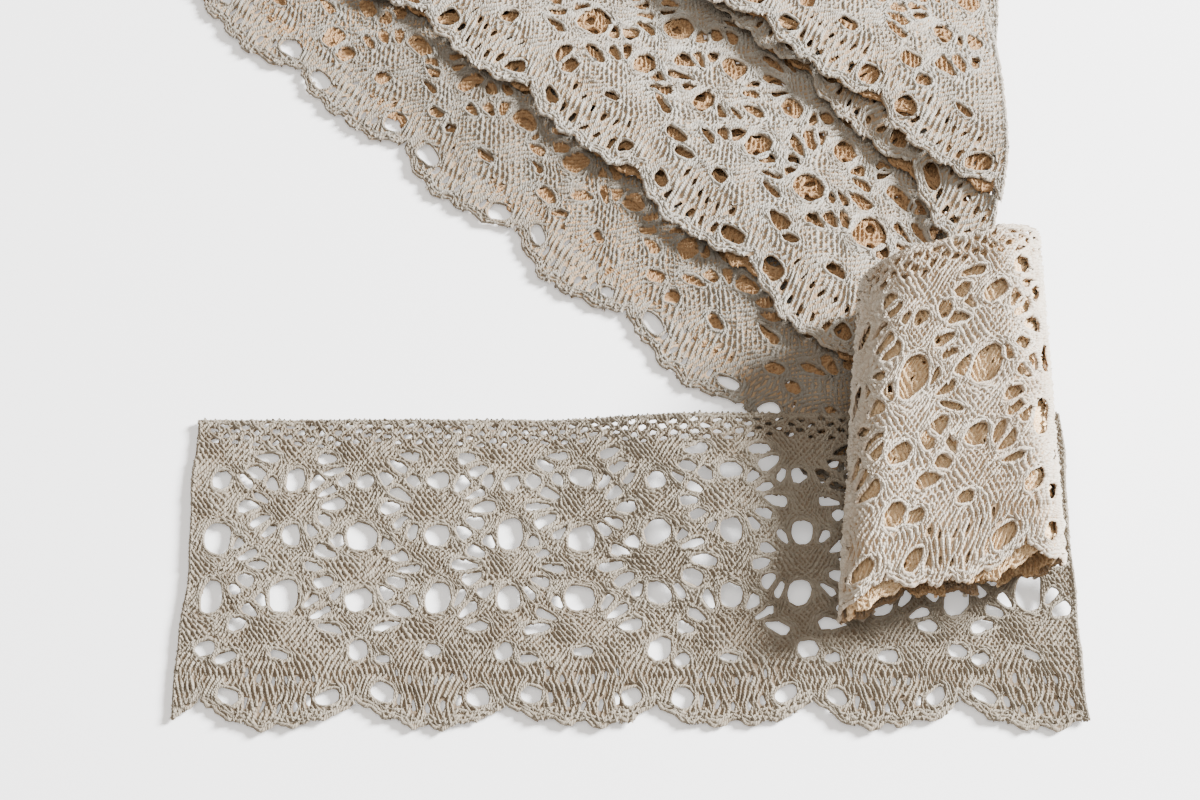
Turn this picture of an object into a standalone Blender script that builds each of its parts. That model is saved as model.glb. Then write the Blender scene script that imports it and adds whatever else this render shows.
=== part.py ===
"""A hank of scalloped cotton lace trim: fanned flat turns, one turn folded over on top, and a loose end.

The strip is charted by one repeat. Along the strip, s runs from a notch of the scalloped edge.
Across it, t runs from the straight header edge at 0 to the tips of the scallops.
"""
import math

import bmesh
import bpy
from mathutils import Vector
from mathutils.geometry import delaunay_2d_cdt

MM = 0.001

# The strip of lace
REPEAT = 40 * MM
NOTCH_REACH = 77.4 * MM
SCALLOP_REACH = 8.4 * MM
TOOTH_DEPTH = 1.6 * MM
TOOTH_PITCH = 8.2 * MM
FIRST_TOOTH = 7.7 * MM
LACE_THICKNESS = 1.6 * MM
EDGE_POINTS_PER_REPEAT = 16

# Gaps of one repeat, in mm: centre along the strip, centre across it, half length, half height
ROUND_GAPS = (
    # s, t, half_s, half_t
    (0.0, 18.3, 2.6, 2.3),
    (0.0, 33.8, 3.6, 3.6),
    (0.0, 50.7, 3.4, 3.4),
    (0.0, 65.0, 2.8, 2.3),
    (6.3, 67.3, 2.4, 1.7),
    (6.9, 77.0, 2.9, 2.2),
    (20.0, 17.2, 3.3, 2.6),
    (20.0, 33.8, 3.6, 3.6),
    (20.0, 50.7, 3.6, 3.8),
    (20.0, 66.2, 2.6, 1.9),
    (33.1, 77.0, 2.9, 2.2),
)
# Slits round the heart of one flower, in mm, on its right side; the left side mirrors them
SLITS = {
    # row: ds, dt, half length, half height, turn in degrees
    "level": (12.3, 0.0, 2.9, 1.35, 0),
    "upper": (8.9, -3.4, 2.3, 1.2, -21),
    "top": (6.0, -6.2, 1.9, 1.3, -46),
    "lower": (8.9, 3.4, 2.3, 1.2, 21),
    "bottom": (6.0, 6.2, 1.9, 1.3, 46),
}
FLOWERS = (
    # s, t, the slits that this flower has
    (0.0, 10.8, ("level", "lower", "bottom")),
    (20.0, 25.5, ("level", "upper", "top", "lower", "bottom")),
    (0.0, 42.4, ("level", "upper", "top", "lower", "bottom")),
    (20.0, 58.8, ("level", "upper", "top")),
)
ROUND_CORNERS = 8
SLIT_CORNERS = 5

# The loose end: laid along X with its header at the back
LOOSE_HEADER_Y = -6.8 * MM
LOOSE_LEFT = -109 * MM
LOOSE_RIGHT = 124 * MM
LOOSE_NOTCH_X = -24 * MM
LOOSE_STRETCH = 0.97
LOOSE_LIFT = 4.6 * MM
LIFT_FROM = (-17 * MM, -66 * MM)
LIFT_OVER = (46 * MM, 24 * MM)
LOOSE_RIPPLE = 0.5 * MM
RIPPLE_LENGTH = 74 * MM
RIPPLE_SLANT = 0.6
CUT_END_STEPS = 7
CUT_MARGIN = 1.4 * MM
HEADER_STEP = 12 * MM

# The fanned turns: A runs along the strip towards the lower right, N across it towards the back
FAN_ANGLE = math.radians(-40.5)
FAN_STRETCH = 1.057
FAN_WAVE = 0.8 * MM
FAN_WAVE_LENGTH = 120 * MM
FAN_WAVE_SHIFT = 2.0
FAN_GRID = 16 * MM
FAN_GRID_ROWS = 4
FAN_TURNS = (
    # notch line N at the far, middle and near end; far A; near A on the scalloped and header side;
    # A of one notch; underside; top at the scallops; top at the header (mm)
    {"far": 26.6, "mid": 26.4, "near": 26.4, "far_a": -194, "near_a": 82, "header_a": 67,
     "notch_a": -11.5, "under": 0.0, "top": 2.8, "header_top": 2.6},
    {"far": 63.5, "mid": 63.0, "near": 54.5, "far_a": -152, "near_a": 60, "header_a": 35,
     "notch_a": 4.7, "under": 0.9, "top": 9.4, "header_top": 5.4},
    {"far": 123.0, "mid": 121.0, "near": 101.0, "far_a": -102, "near_a": 60, "header_a": -4,
     "notch_a": 21.7, "under": 1.8, "top": 13.0, "header_top": 7.0},
    {"far": 122.5, "mid": 124.0, "near": 118.5, "far_a": -82, "near_a": 52, "header_a": -15,
     "notch_a": 2.5, "under": 2.7, "top": 16.5, "header_top": 8.0},
)

# The turn folded over on top: U runs along its leaf to the right, W across it towards the front
FOLD_ANGLE = math.radians(13)
FOLD_ROWS = 9
FOLD_HEADER = {"w": -7.5, "left": 74.0, "right": 122.9, "under": 7.4, "top": 39.0}
FOLD_FRONT = {"w": 71.0, "left": 47.0, "right": 105.0, "under": 7.2, "top": 22.0}
FOLD_RISE = 2.5
FOLD_CORNER_STEPS = 10
FOLD_LEAF_STEPS = 22
FOLD_REPEATS = 3.5
FOLD_SEAM = 0.62
FOLD_START = -3.7 * MM
FOLD_BULGE = 1.2 * MM
FOLD_BULGES = 6

ECRU = (0.53, 0.47, 0.38, 1)
ROUGHNESS = 0.92


def smooth(value):
    """Eases from 0 to 1 as value goes from 0 to 1, and stays there outside."""
    value = min(max(value, 0), 1)
    return value * value * (3 - 2 * value)


def mix(start, end, share):
    return start + (end - start) * share


def scallop_edge(s):
    """How far the scalloped edge reaches across the strip at s, with its small teeth."""
    bow = math.sqrt(abs(math.sin(math.pi * s / REPEAT)))
    tooth = 0.5 - 0.5 * math.cos(2 * math.pi * ((s % REPEAT) - FIRST_TOOTH) / TOOTH_PITCH)
    return NOTCH_REACH + SCALLOP_REACH * bow - TOOTH_DEPTH * tooth * bow


def ellipse(s, t, half_s, half_t, turn, corners, start=0.0):
    """The corners of a gap, as points across the chart."""
    points = []
    for index in range(corners):
        angle = start + 2 * math.pi * index / corners
        along = half_s * math.cos(angle)
        across = half_t * math.sin(angle)
        points.append((s + along * math.cos(turn) - across * math.sin(turn),
                       t + along * math.sin(turn) + across * math.cos(turn)))
    return points


def gaps_of_repeat():
    """All gaps of one repeat as outlines in metres."""
    outlines = []
    for s, t, half_s, half_t in ROUND_GAPS:
        outlines.append(ellipse(s, t, half_s, half_t, 0, ROUND_CORNERS, math.pi / ROUND_CORNERS))
    for flower_s, flower_t, names in FLOWERS:
        for name in names:
            ds, dt, half_s, half_t, degrees = SLITS[name]
            turn = math.radians(degrees)
            for side in (1, -1):
                pointed = math.pi if side == 1 else 0.0
                outlines.append(ellipse(flower_s + side * ds, flower_t + dt, half_s, half_t,
                                        side * turn, SLIT_CORNERS, pointed))
    return [[(s * MM, t * MM) for s, t in outline] for outline in outlines]


def inside(point, outline):
    """Whether a point lies in a closed outline."""
    x, y = point
    odd = False
    before = outline[-1]
    for after in outline:
        if (after[1] > y) != (before[1] > y):
            cross = after[0] + (y - after[1]) * (before[0] - after[0]) / (before[1] - after[1])
            if x < cross:
                odd = not odd
        before = after
    return odd


def triangulate(outline, holes, extra):
    """Triangles of the area inside the outline and outside the holes."""
    points = []
    edges = []
    for loop in [outline] + holes:
        first = len(points)
        points += loop
        edges += [(first + i, first + (i + 1) % len(loop)) for i in range(len(loop))]
    points += extra
    flat = delaunay_2d_cdt([Vector(p) for p in points], edges, [], 0, 1e-6)
    kept = []
    for corners in flat[2]:
        centre = (sum(flat[0][i].x for i in corners) / 3, sum(flat[0][i].y for i in corners) / 3)
        if inside(centre, outline) and not any(inside(centre, hole) for hole in holes):
            kept.append(corners)
    return [(p.x, p.y) for p in flat[0]], kept


def sheet_mesh(name, points, triangles, low, high):
    """A closed mesh between two heights over a flat net of triangles."""
    bm = bmesh.new()
    used = sorted({i for corners in triangles for i in corners})
    under = {i: bm.verts.new((*points[i], low(*points[i]))) for i in used}
    over = {i: bm.verts.new((*points[i], high(*points[i]))) for i in used}
    sides = {}
    for corners in triangles:
        bm.faces.new([over[i] for i in corners])
        bm.faces.new([under[i] for i in reversed(corners)])
        for start, end in zip(corners, corners[1:] + corners[:1]):
            sides[(start, end)] = True
    for start, end in sides:
        if (end, start) not in sides:
            bm.faces.new([over[end], over[start], under[start], under[end]])
    bmesh.ops.recalc_face_normals(bm, faces=bm.faces)
    mesh = bpy.data.meshes.new(name)
    bm.to_mesh(mesh)
    bm.free()
    return mesh


def new_object(name, mesh):
    obj = bpy.data.objects.new(name, mesh)
    bpy.context.scene.collection.objects.link(obj)
    return obj


def cotton(name):
    material = bpy.data.materials.new(name)
    material.use_nodes = True
    shader = material.node_tree.nodes["Principled BSDF"]
    shader.inputs["Base Color"].default_value = ECRU
    shader.inputs["Roughness"].default_value = ROUGHNESS
    return material


def loose_place(s, t):
    """The ground position of a chart point of the loose end."""
    return (LOOSE_NOTCH_X + s * LOOSE_STRETCH, LOOSE_HEADER_Y - t)


def loose_height(x, y):
    """The underside of the loose end: slack ripples, and a rise over the turn that it crosses."""
    over_turn = smooth((x - LIFT_FROM[0]) / LIFT_OVER[0]) * smooth((y - LIFT_FROM[1]) / LIFT_OVER[1])
    slack = 0.5 + 0.5 * math.sin(2 * math.pi * (x + RIPPLE_SLANT * y) / RIPPLE_LENGTH)
    return LOOSE_LIFT * over_turn + LOOSE_RIPPLE * slack


def build_loose_end():
    first = (LOOSE_LEFT - LOOSE_NOTCH_X) / LOOSE_STRETCH
    last = (LOOSE_RIGHT - LOOSE_NOTCH_X) / LOOSE_STRETCH
    steps = round((last - first) / REPEAT * EDGE_POINTS_PER_REPEAT)
    front = [mix(first, last, i / steps) for i in range(steps + 1)]
    header_steps = round((last - first) / HEADER_STEP)
    outline = [loose_place(s, scallop_edge(s)) for s in front]
    reach = scallop_edge(last)
    outline += [loose_place(last, reach * (1 - i / CUT_END_STEPS)) for i in range(1, CUT_END_STEPS)]
    outline += [loose_place(mix(last, first, i / header_steps), 0) for i in range(header_steps + 1)]
    reach = scallop_edge(first)
    outline += [loose_place(first, reach * i / CUT_END_STEPS) for i in range(1, CUT_END_STEPS)]
    holes = []
    repeats = gaps_of_repeat()
    for number in range(math.floor(first / REPEAT) - 1, math.ceil(last / REPEAT) + 1):
        for gap in repeats:
            placed = [(s + number * REPEAT, t) for s, t in gap]
            ends = (min(s for s, t in placed), max(s for s, t in placed))
            if ends[0] > first + CUT_MARGIN and ends[1] < last - CUT_MARGIN:
                holes.append([loose_place(s, t) for s, t in placed])
    points, triangles = triangulate(outline, holes, [])
    mesh = sheet_mesh("loose_end", points, triangles, loose_height,
                      lambda x, y: loose_height(x, y) + LACE_THICKNESS)
    print("loose end:", len(holes), "gaps,", len(mesh.polygons), "faces")
    return new_object("loose_end", mesh)


def fan_place(a, n):
    """The ground position of a point A along and N across the fanned turns."""
    along = Vector((math.cos(FAN_ANGLE), math.sin(FAN_ANGLE)))
    across = Vector((-along.y, along.x))
    place = along * a + across * n
    return (place.x, place.y)


def fan_coordinates(x, y):
    """A along and N across the fanned turns of a ground position."""
    cos, sin = math.cos(FAN_ANGLE), math.sin(FAN_ANGLE)
    return (x * cos + y * sin, -x * sin + y * cos)


def notch_line(turn, a):
    """N of the turn's line of notches at A: a curve through its far, middle and near values."""
    share = (a - turn["far_a"] * MM) / ((turn["near_a"] - turn["far_a"]) * MM)
    bend = 2 * (turn["far"] + turn["near"] - 2 * turn["mid"])
    slope = turn["near"] - turn["far"] - bend
    return (turn["far"] + slope * share + bend * share * share) * MM


def build_fan_turn(index, turn):
    """One terrace of the hank: a slab whose front edge is scalloped."""
    far, near, header_near = turn["far_a"] * MM, turn["near_a"] * MM, turn["header_a"] * MM
    pitch = REPEAT * FAN_STRETCH
    steps = round((near - far) / pitch * EDGE_POINTS_PER_REPEAT)
    outline = []
    for i in range(steps + 1):
        a = mix(far, near, i / steps)
        s = (a - turn["notch_a"] * MM) / FAN_STRETCH
        outline.append(fan_place(a, notch_line(turn, a) + NOTCH_REACH - scallop_edge(s)))
    front = notch_line(turn, near) - SCALLOP_REACH
    back = notch_line(turn, header_near) + NOTCH_REACH
    for i in range(1, CUT_END_STEPS):
        share = i / CUT_END_STEPS
        a = mix(near, header_near, (share + smooth(share)) / 2)
        outline.append(fan_place(a, mix(front, back, share)))
    header_steps = round((header_near - far) / HEADER_STEP)
    for i in range(header_steps + 1):
        a = mix(header_near, far, i / header_steps)
        outline.append(fan_place(a, notch_line(turn, a) + NOTCH_REACH))
    extra = []
    for i in range(1, int((near - far) / FAN_GRID)):
        for j in range(1, FAN_GRID_ROWS + 1):
            place = fan_place(far + i * FAN_GRID, notch_line(turn, far + i * FAN_GRID) + j * FAN_GRID)
            if inside(place, outline):
                extra.append(place)
    points, triangles = triangulate(outline, [], extra)

    def top(x, y):
        a, n = fan_coordinates(x, y)
        share = (n - notch_line(turn, a)) / NOTCH_REACH
        phase = 2 * math.pi * a / FAN_WAVE_LENGTH + index * FAN_WAVE_SHIFT
        wave = FAN_WAVE * math.sin(phase) * math.sin(share * math.pi)
        return mix(turn["top"], turn["header_top"], smooth(share)) * MM + wave

    mesh = sheet_mesh("fan_turn", points, triangles, lambda x, y: turn["under"] * MM, top)
    print("turn", index, "faces", len(mesh.polygons))
    return new_object("roll" if index == 0 else "fan_turn_%d" % index, mesh)


def fold_section(share):
    """Points (u, z) round the folded turn at a share of its width, from the header to the front."""
    row = {key: mix(FOLD_HEADER[key], FOLD_FRONT[key], share) * MM for key in FOLD_HEADER}
    rise = FOLD_RISE * MM
    left_radius = (row["top"] - row["under"]) / 2
    right_radius = left_radius + rise / 2
    points = []
    for i in range(FOLD_LEAF_STEPS):
        part = i / FOLD_LEAF_STEPS
        points.append((mix(row["left"] + left_radius, row["right"] - right_radius, part),
                       row["top"] + rise * part))
    for i in range(FOLD_CORNER_STEPS):
        angle = math.pi / 2 - math.pi * i / FOLD_CORNER_STEPS
        points.append((row["right"] - right_radius + right_radius * math.cos(angle),
                       row["under"] + right_radius + right_radius * math.sin(angle)))
    for i in range(FOLD_LEAF_STEPS):
        part = i / FOLD_LEAF_STEPS
        points.append((mix(row["right"] - right_radius, row["left"] + left_radius, part), row["under"]))
    for i in range(FOLD_CORNER_STEPS):
        angle = -math.pi / 2 - math.pi * i / FOLD_CORNER_STEPS
        points.append((row["left"] + left_radius + left_radius * math.cos(angle),
                       row["under"] + left_radius + left_radius * math.sin(angle)))
    return points


def round_lengths(points):
    """The share of the way round a closed section at which each point lies."""
    lengths = [0.0]
    for before, after in zip(points, points[1:] + points[:1]):
        lengths.append(lengths[-1] + math.dist(before, after))
    return [length / lengths[-1] for length in lengths[:-1]]


def fold_place(u, w, z):
    along = Vector((math.cos(FOLD_ANGLE), math.sin(FOLD_ANGLE), 0))
    across = Vector((along.y, -along.x, 0))
    return along * u + across * w + Vector((0, 0, z))


def build_fold():
    """The turn folded over on top: sections from the header to the scalloped front, lofted."""
    bm = bmesh.new()
    loops = []
    for row in range(FOLD_ROWS + 1):
        share = row / FOLD_ROWS
        section = fold_section(share)
        at = round_lengths(section)
        w = mix(FOLD_HEADER["w"], FOLD_FRONT["w"], share) * MM
        ring = []
        for (u, z), part in zip(section, at):
            turns = part - 1 if part > FOLD_SEAM else part
            reach = 0.0
            if row == FOLD_ROWS:
                reach = scallop_edge(FOLD_START + turns * FOLD_REPEATS * REPEAT) - NOTCH_REACH
            bulge = FOLD_BULGE * math.sin(math.pi * share) * abs(math.sin(math.pi * part * FOLD_BULGES))
            ring.append(bm.verts.new(fold_place(u, w + reach, z + bulge)))
        loops.append(ring)
    count = len(loops[0])
    for before, after in zip(loops, loops[1:]):
        for i in range(count):
            bm.faces.new([before[i], before[(i + 1) % count], after[(i + 1) % count], after[i]])
    for row, ring in ((0, loops[0]), (1, loops[-1])):
        end = FOLD_FRONT if row else FOLD_HEADER
        centre = bm.verts.new(fold_place((end["left"] + end["right"]) / 2 * MM,
                                         end["w"] * MM, (end["under"] + end["top"]) / 2 * MM))
        for i in range(count):
            bm.faces.new([ring[i], ring[(i + 1) % count], centre])
    bmesh.ops.recalc_face_normals(bm, faces=bm.faces)
    mesh = bpy.data.meshes.new("fold")
    bm.to_mesh(mesh)
    bm.free()
    return new_object("fold", mesh)


def join(target, pieces):
    """Unites the pieces with the target, and leaves them as guides."""
    for piece in pieces:
        piece.hide_render = True
        piece.display_type = "WIRE"
        union = target.modifiers.new(piece.name, "BOOLEAN")
        union.operation = "UNION"
        union.solver = "EXACT"
        union.object = piece


def centre_on_origin(objects):
    """Moves everything so that the origin is under the middle of the whole outline."""
    graph = bpy.context.evaluated_depsgraph_get()
    places = []
    for obj in bpy.context.scene.objects:
        if not obj.hide_render:
            seen = obj.evaluated_get(graph)
            places += [seen.matrix_world @ vertex.co for vertex in seen.data.vertices]
    middle_x = (min(p.x for p in places) + max(p.x for p in places)) / 2
    middle_y = (min(p.y for p in places) + max(p.y for p in places)) / 2
    for obj in objects:
        obj.location = (-middle_x, -middle_y, 0)
    print("moved by", round(-middle_x / MM, 3), round(-middle_y / MM, 3), "mm")


for old in list(bpy.data.objects):
    bpy.data.objects.remove(old)
loose_end = build_loose_end()
turns = [build_fan_turn(index, turn) for index, turn in enumerate(FAN_TURNS)]
roll = turns[0]
fold = build_fold()
join(roll, turns[1:] + [fold])
roll.data.materials.append(cotton("roll_cotton"))
loose_end.data.materials.append(cotton("loose_end_cotton"))
bpy.context.view_layer.update()
centre_on_origin([loose_end, fold] + turns)
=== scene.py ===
# %% [markdown]
# # A hank of cotton lace trim
# The object is one long strip of bobbin lace. It lies in fanned flat turns, one turn is folded over
# on top, and the loose end runs out flat to the left. This file dresses the plain solids of the frame
# with real lace: cloth with its gaps cut out, and raised yarns that part around each gap.

# %% Load the frame
import math

import bpy
import numpy as np
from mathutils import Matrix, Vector
from mathutils.geometry import delaunay_2d_cdt


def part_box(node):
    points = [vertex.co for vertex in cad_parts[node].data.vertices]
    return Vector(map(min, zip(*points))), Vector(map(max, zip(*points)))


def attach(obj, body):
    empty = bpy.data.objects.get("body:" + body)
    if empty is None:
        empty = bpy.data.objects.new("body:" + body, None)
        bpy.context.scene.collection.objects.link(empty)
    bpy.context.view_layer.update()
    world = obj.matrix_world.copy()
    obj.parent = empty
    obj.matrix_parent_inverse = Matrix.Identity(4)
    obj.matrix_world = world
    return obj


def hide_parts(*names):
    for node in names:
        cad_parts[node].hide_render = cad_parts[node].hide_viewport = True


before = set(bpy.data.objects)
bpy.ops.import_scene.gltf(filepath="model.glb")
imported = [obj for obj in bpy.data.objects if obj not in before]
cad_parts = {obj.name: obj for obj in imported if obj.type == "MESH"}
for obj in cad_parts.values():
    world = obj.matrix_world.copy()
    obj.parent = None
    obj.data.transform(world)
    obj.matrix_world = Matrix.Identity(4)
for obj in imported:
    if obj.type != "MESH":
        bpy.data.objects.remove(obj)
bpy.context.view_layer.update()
MM = 0.001

# %% [markdown]
# ## The chart of one repeat
# A lace maker pricks a pattern once and works it again and again. The chart does the same: every gap
# of one repeat is a rounded shape with a centre, two half sizes, a turn and a taper. `s` runs along
# the strip from a notch of the scalloped edge, and `t` runs across it from the straight header.
# Such rows are easier to edit than outlines, and a point's distance from one is a short formula.

# %% Sizes of the strip and its gaps, in mm
REPEAT = 40.0
NOTCH = 77.4
SCALLOP = 8.4
TIPS = NOTCH + SCALLOP
TOOTH_DEPTH, TOOTH_PITCH, FIRST_TOOTH = 1.6, 8.2, 7.7

ROUND_GAPS = (
    # s, t, half_s, half_t, turn in degrees
    (0.0, 18.3, 2.6, 2.3, 0),
    (0.0, 33.8, 3.6, 3.7, 0),
    (0.0, 50.7, 3.5, 3.6, 0),
    (0.0, 65.0, 2.9, 2.3, 0),
    (6.3, 67.3, 2.5, 1.6, -15),
    (20.0, 17.2, 3.3, 2.6, 0),
    (20.0, 33.8, 3.6, 3.7, 0),
    (20.0, 50.7, 3.6, 3.8, 0),
    (20.0, 66.2, 2.6, 1.5, 0),
    (6.9, 77.0, 3.2, 2.2, 22),
    (33.1, 77.0, 3.2, 2.2, -22),
)
SLITS = {
    # row: ds, dt, half length, half height, turn in degrees, on a flower's right side
    "level": (12.2, 0.0, 3.3, 1.4, 0),
    "upper": (9.3, -3.9, 2.9, 1.4, -22),
    "top": (6.2, -6.9, 2.3, 1.45, -48),
    "lower": (9.3, 3.9, 2.9, 1.4, 22),
    "bottom": (6.2, 6.9, 2.3, 1.45, 48),
}
SLIT_TAPER = 0.3
FLOWERS = (
    # s, t, rows of slits
    (0.0, 10.8, ("level", "lower", "bottom")),
    (20.0, 25.5, ("level", "upper", "top", "lower", "bottom")),
    (0.0, 42.4, ("level", "upper", "top", "lower", "bottom")),
    (20.0, 58.8, ("level", "upper", "top")),
)
CELLS_PER_ROW, CELL_ROWS, FIRST_ROW, ROW_STEP, CELL_SIZE = 7, 4, 1.9, 1.6, (1.25, 0.72)
DENT_ROWS = (
    # number, distance apart, t at the middle, half_s, half_t
    (5, 4.1, 80.2, 0.8, 1.5),
    (6, 3.6, 73.4, 0.6, 1.2),
)
DENT_BOW = 0.025

# %% All gaps of one repeat
AT_S, AT_T, HALF_S, HALF_T, TURN, TAPER, LARGE = range(7)


def chart_of_gaps():
    """All gaps of a repeat as rows of the columns above; LARGE is 1, or 0 for a small cell or dent."""
    rows = [(s, t, half_s, half_t, turn, 0, 1) for s, t, half_s, half_t, turn in ROUND_GAPS]
    for s, t, names in FLOWERS:
        for name in names:
            ds, dt, half_s, half_t, turn = SLITS[name]
            rows.append((s + ds, t + dt, half_s, half_t, turn, SLIT_TAPER, 1))
            rows.append((s - ds, t + dt, half_s, half_t, -turn, -SLIT_TAPER, 1))
    for row in range(CELL_ROWS):
        for cell in range(CELLS_PER_ROW):
            s = (cell + 0.5 * (row % 2)) * REPEAT / CELLS_PER_ROW
            rows.append((s, FIRST_ROW + row * ROW_STEP, *CELL_SIZE, 0, 0, 0))
    for count, pitch, reach, half_s, half_t in DENT_ROWS:
        for dent in range(count):
            ds = (dent - (count - 1) / 2) * pitch
            rows.append((REPEAT / 2 + ds, reach - DENT_BOW * ds * ds, half_s, half_t, 0, 0, 0))
    gaps = np.array(rows, float)
    gaps[:, TURN] = np.radians(gaps[:, TURN])
    return gaps


CHART = chart_of_gaps()
print("gaps in one repeat:", len(CHART), "of which large:", int(CHART[:, LARGE].sum()))

# %% [markdown]
# ## The edge of the strip
# The front edge is a row of scallops with small teeth. Each scallop is a half wave of a sine, and its
# square root makes the wave fuller and the notches sharp, as they are in the lace.

# %% Scalloped edge


def smooth(value):
    """Eases from 0 to 1 as the value goes from 0 to 1."""
    value = np.clip(value, 0, 1)
    return value * value * (3 - 2 * value)


def mix(start, end, share):
    return start + (end - start) * share


def scallop_edge(s):
    """How far the scalloped edge reaches across the strip, with its small teeth."""
    bow = np.sqrt(np.abs(np.sin(np.pi * s / REPEAT)))
    tooth = 0.5 - 0.5 * np.cos(2 * np.pi * (np.mod(s, REPEAT) - FIRST_TOOTH) / TOOTH_PITCH)
    return NOTCH + SCALLOP * bow - TOOTH_DEPTH * tooth * bow


def furthest(last_at):
    """How far a strip reaches along its longer edge; last_at gives its end at each t."""
    return max(float(last_at(TIPS)), float(last_at(0.0)))


print("the strip is %.1f mm wide at its notches and %.1f mm at its scallops" % (NOTCH, TIPS))

# %% [markdown]
# ## The unevenness of hand tension
# No two repeats of hand-made lace come out alike, since the tension of the work varies. One chart
# that is copied as it is looks printed. So each strip draws its own small changes of every gap from a
# seed, which gives the same lace on each run.

# %% Uneven gaps
STRAY_S, STRAY_T, STRAY_TURN, STRAY_TAPER = 0.3, 0.25, 0.1, 0.15
LENGTH_CHANGE, HEIGHT_CHANGE = (-0.17, 0.12), (-0.22, 0.25)
SMALL_GAP_SHARE = 0.4
END_BAND = 1.4
SPARE_REPEATS = 2


def uneven_gaps(first, last_at, seed, openness, crumple):
    """The gaps of a strip, as a dictionary from the number of a repeat to its rows.

    Lace that lies crumpled is more uneven than lace laid flat. A layer that stands for several
    turns lets less through than one. No gap is left open at a cut end.
    """
    chance = np.random.default_rng(seed)
    strip = {}
    first_number = math.floor(first / REPEAT) - SPARE_REPEATS
    last_number = math.ceil(furthest(last_at) / REPEAT) + SPARE_REPEATS
    for number in range(first_number, last_number + 1):
        gaps = CHART.copy()
        count = len(gaps)
        size = np.where(gaps[:, LARGE] > 0, 1.0, SMALL_GAP_SHARE) * crumple
        gaps[:, AT_S] += number * REPEAT + chance.normal(0, STRAY_S, count) * size
        gaps[:, AT_T] += chance.normal(0, STRAY_T, count) * size
        gaps[:, HALF_S] *= 1 + chance.uniform(*LENGTH_CHANGE, count) * size
        gaps[:, HALF_T] *= 1 + chance.uniform(*HEIGHT_CHANGE, count) * size
        gaps[:, HALF_S] *= openness
        gaps[:, HALF_T] *= openness
        gaps[:, TURN] += chance.normal(0, STRAY_TURN, count) * crumple
        gaps[:, TAPER] += chance.uniform(-STRAY_TAPER, STRAY_TAPER, count) * size
        clear = gaps[:, AT_S] - gaps[:, HALF_S] > first + END_BAND
        clear &= gaps[:, AT_S] + gaps[:, HALF_S] < last_at(gaps[:, AT_T]) - END_BAND
        strip[number] = gaps[clear]
    return strip


# %% [markdown]
# ## Yarns that part around the gaps
# In the real lace two sets of threads cross at a slant, and pins hold them apart where a gap stays
# open. So the yarns start as an even slanted weave, and each gap pushes them outwards, strongest
# at its middle. They crowd round the rims and run close together in the bars between. A picture of
# yarns would be lighter, but only real ones catch the light and end in an uneven edge.

# %% Distance from a gap
ROUNDNESS = 2.5
SMALLEST_RADIUS = 1e-3
NEAR_GAP = 8.0
INSIDE_RIM = 0.985


def gap_radius(s, t, gap):
    """Distance of points from a gap's centre, where 1 is its rim, and the offsets from the centre."""
    ds, dt = s - gap[AT_S], t - gap[AT_T]
    cos, sin = math.cos(gap[TURN]), math.sin(gap[TURN])
    along, across = (ds * cos + dt * sin) / gap[HALF_S], (dt * cos - ds * sin) / gap[HALF_T]
    across = across / (1 + gap[TAPER] * np.clip(along, -1, 1))
    radius = (np.abs(along) ** ROUNDNESS + np.abs(across) ** ROUNDNESS) ** (1 / ROUNDNESS)
    return np.maximum(radius, SMALLEST_RADIUS), ds, dt


def by_repeat(s, gaps):
    """Splits points by the repeat they lie in; yields their indices and the gaps of it and both beside."""
    numbers = np.floor(s / REPEAT).astype(int)
    for number in np.unique(numbers):
        rows = [gaps[n] for n in (number - 1, number, number + 1) if n in gaps]
        if rows:
            yield np.nonzero(numbers == number)[0], np.concatenate(rows)


def is_near(s, t, gap):
    return (np.abs(s - gap[AT_S]) < NEAR_GAP) & (np.abs(t - gap[AT_T]) < NEAR_GAP)


def in_gap(s, t, gaps):
    """Whether points lie inside a gap."""
    shape = s.shape
    s, t = s.ravel(), t.ravel()
    found = np.zeros(s.shape, bool)
    for picked, rows in by_repeat(s, gaps):
        for gap in rows:
            near = picked[is_near(s[picked], t[picked], gap)]
            found[near] |= gap_radius(s[near], t[near], gap)[0] < INSIDE_RIM
    return found.reshape(shape)


# %% Points pushed out of the gaps
RIM = 1.1
ROUND_ZONE, SLIT_ZONE, ROUND_HEIGHT = 2.0, 1.7, 1.9
CROWDING = 1.8
PUSHES = (
    # how many times, and whether the push spreads over the gap's zone or only clears its rim
    (1, True),
    (3, False),
)


def around_gaps(s, t, gaps):
    """The chart's points, moved out of every gap near them."""
    shape = s.shape
    s, t = s.ravel().copy(), t.ravel().copy()
    for picked, rows in by_repeat(s, gaps):
        ps, pt = s[picked], t[picked]
        for times, spreads in PUSHES:
            for gap in np.tile(rows, (times, 1)):
                near = np.nonzero(is_near(ps, pt, gap))[0]
                radius, ds, dt = gap_radius(ps[near], pt[near], gap)
                if spreads:
                    zone = ROUND_ZONE if gap[HALF_T] > ROUND_HEIGHT else SLIT_ZONE
                    wanted = RIM + (zone - RIM) * np.minimum(radius / zone, 1) ** CROWDING
                else:
                    zone, wanted = RIM, RIM
                grow = np.where(radius < zone, wanted / radius, 1)
                ps[near], pt[near] = gap[AT_S] + ds * grow, gap[AT_T] + dt * grow
        s[picked], t[picked] = ps, pt
    return s.reshape(shape), t.reshape(shape)


# %% [markdown]
# ## Slack
# Cloth that lies free is never quite straight. A sum of a few long waves moves every point of a strip
# a little, and cloth and yarns take the same one, so they stay together.

# %% Slow waves of slack
SLACK = (
    # size, wave length along, wave length across, phase
    (0.5, 67.0, 90.0, 0.3),
    (0.35, 29.0, -41.0, 1.9),
    (0.2, -17.0, 19.0, 4.2),
)
ACROSS_TURN, ACROSS_PHASE = 1.3, 2
HEADER_HOLDS = 6


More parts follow.
